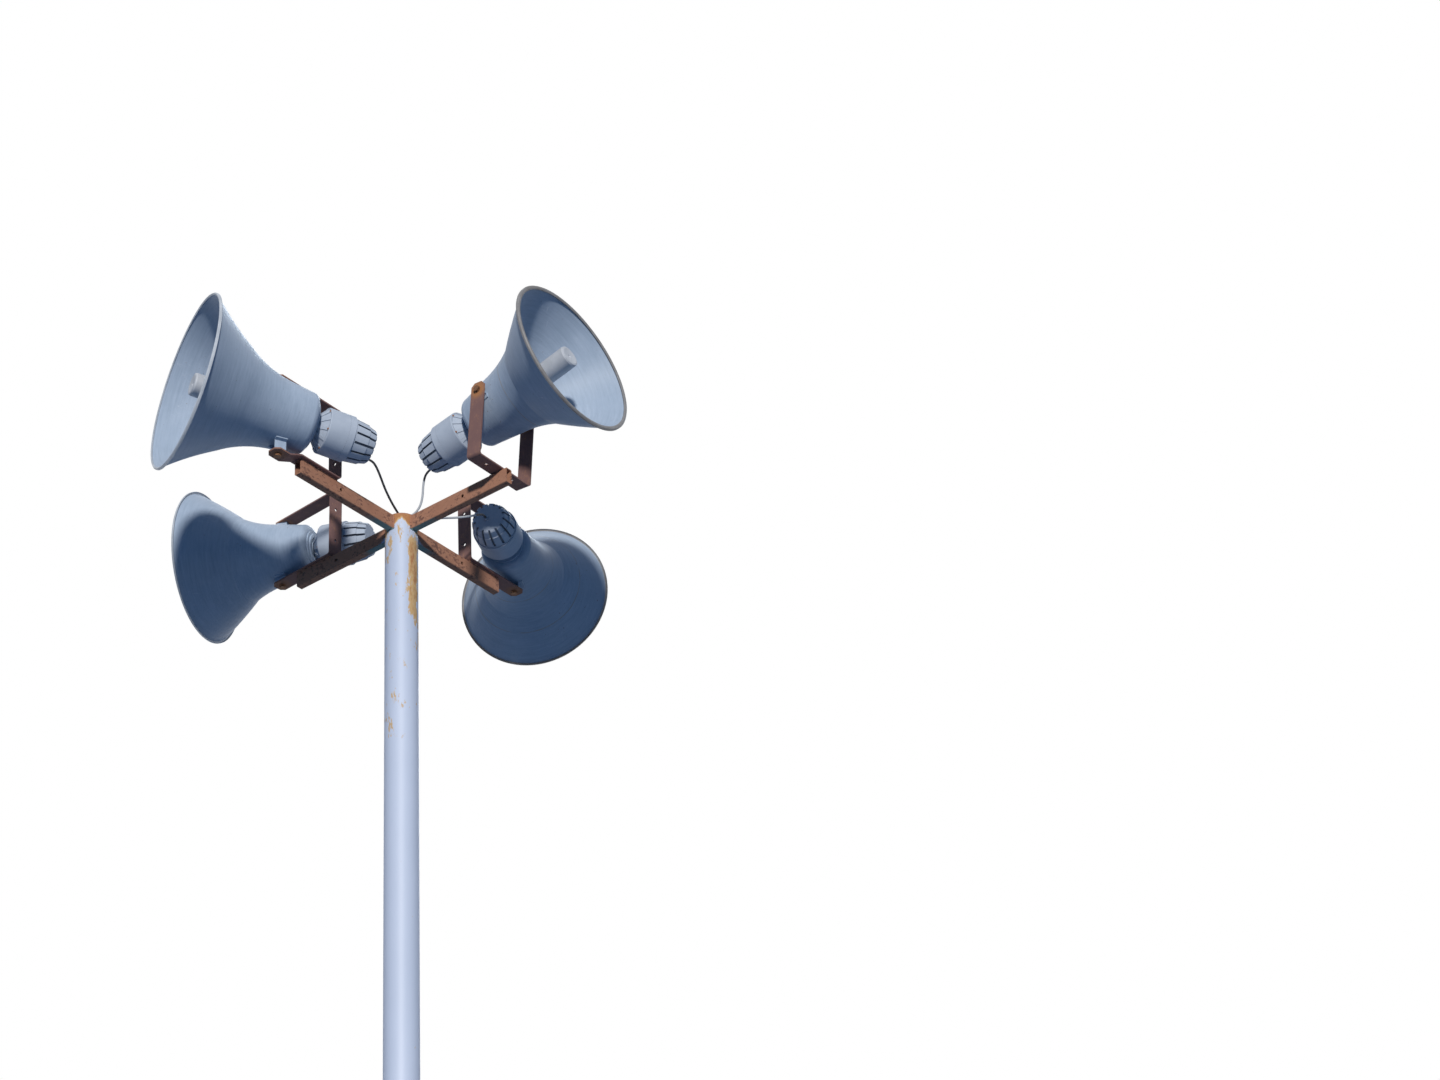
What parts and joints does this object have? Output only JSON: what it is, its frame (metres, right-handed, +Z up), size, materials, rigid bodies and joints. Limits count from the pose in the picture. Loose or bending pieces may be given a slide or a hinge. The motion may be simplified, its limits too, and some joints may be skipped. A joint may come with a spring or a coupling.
{
  "type": "loudspeaker pole",
  "caption": "Rusty painted steel pole with welded box-section arms in a cross at its top, each with a bent strip bracket that carries a horn loudspeaker on pivot bolts",
  "frame": {"origin": "centre of the base plate's underside, on the pole's axis", "axes": "+Z up along the pole; the picture's camera stands on -Y and looks along +Y"},
  "size_m": [1.4286, 1.5083, 6.2259],
  "materials": {
    "pole_paint": "satin",
    "rusty_steel": "matte",
    "rusty_strip": "matte",
    "rusty_bolt": "matte",
    "horn_paint": "satin",
    "rim_metal": "matte",
    "cup_paint": "satin",
    "driver_paint": "satin",
    "lug_paint": "satin",
    "entry_rubber": "matte",
    "lead_sheath": "matte"
  },
  "bodies": {
    "pole_body": {"base_plate": "pole_paint", "pole": "pole_paint", "pole_cap": "rusty_steel", "cable_entry": "entry_rubber", "arm_a": "rusty_steel", "bracket_a": "rusty_strip", "pivot_bolts_a": "rusty_bolt", "arm_b": "rusty_steel", "bracket_b": "rusty_strip", "pivot_bolts_b": "rusty_bolt", "arm_c": "rusty_steel", "bracket_c": "rusty_strip", "pivot_bolts_c": "rusty_bolt", "arm_d": "rusty_steel", "bracket_d": "rusty_strip", "pivot_bolts_d": "rusty_bolt", "lead_a": "lead_sheath", "lead_b": "lead_sheath", "lead_d": "lead_sheath"},
    "horn_a": {"bell_a": "horn_paint", "rim_a": "rim_metal", "horn_back_a": "horn_paint", "reflector_cup_a": "cup_paint", "driver_front_a": "driver_paint", "driver_tail_a": "driver_paint", "lugs_a": "lug_paint"},
    "horn_b": {"bell_b": "horn_paint", "rim_b": "rim_metal", "horn_back_b": "horn_paint", "reflector_cup_b": "cup_paint", "driver_front_b": "driver_paint", "driver_tail_b": "driver_paint", "lugs_b": "lug_paint"},
    "horn_c": {"bell_c": "horn_paint", "rim_c": "rim_metal", "horn_back_c": "horn_paint", "reflector_cup_c": "cup_paint", "driver_front_c": "driver_paint", "driver_tail_c": "driver_paint", "lugs_c": "lug_paint"},
    "horn_d": {"bell_d": "horn_paint", "rim_d": "rim_metal", "horn_back_d": "horn_paint", "reflector_cup_d": "cup_paint", "driver_front_d": "driver_paint", "driver_tail_d": "driver_paint", "lugs_d": "lug_paint"}
  },
  "joints": [
    {"name": "horn_a_pan", "type": "hinge", "parent": "pole_body", "child": "horn_a", "pos_m": [-0.36141, -0.39718, 5.818], "axis": [0, 0, 1], "range_deg": [-45, 0]},
    {"name": "horn_b_tilt", "type": "hinge", "parent": "pole_body", "child": "horn_b", "pos_m": [0.30615, -0.27858, 5.93432], "axis": [-0.673, -0.7396, 0], "range_deg": [-30, 18]},
    {"name": "horn_c_pan", "type": "hinge", "parent": "pole_body", "child": "horn_c", "pos_m": [-0.38041, 0.36387, 5.818], "axis": [0, 0, 1], "range_deg": [0, 45]},
    {"name": "horn_d_pan", "type": "hinge", "parent": "pole_body", "child": "horn_d", "pos_m": [0.36203, 0.40067, 5.818], "axis": [0, 0, 1], "range_deg": [0, 45]}
  ]
}
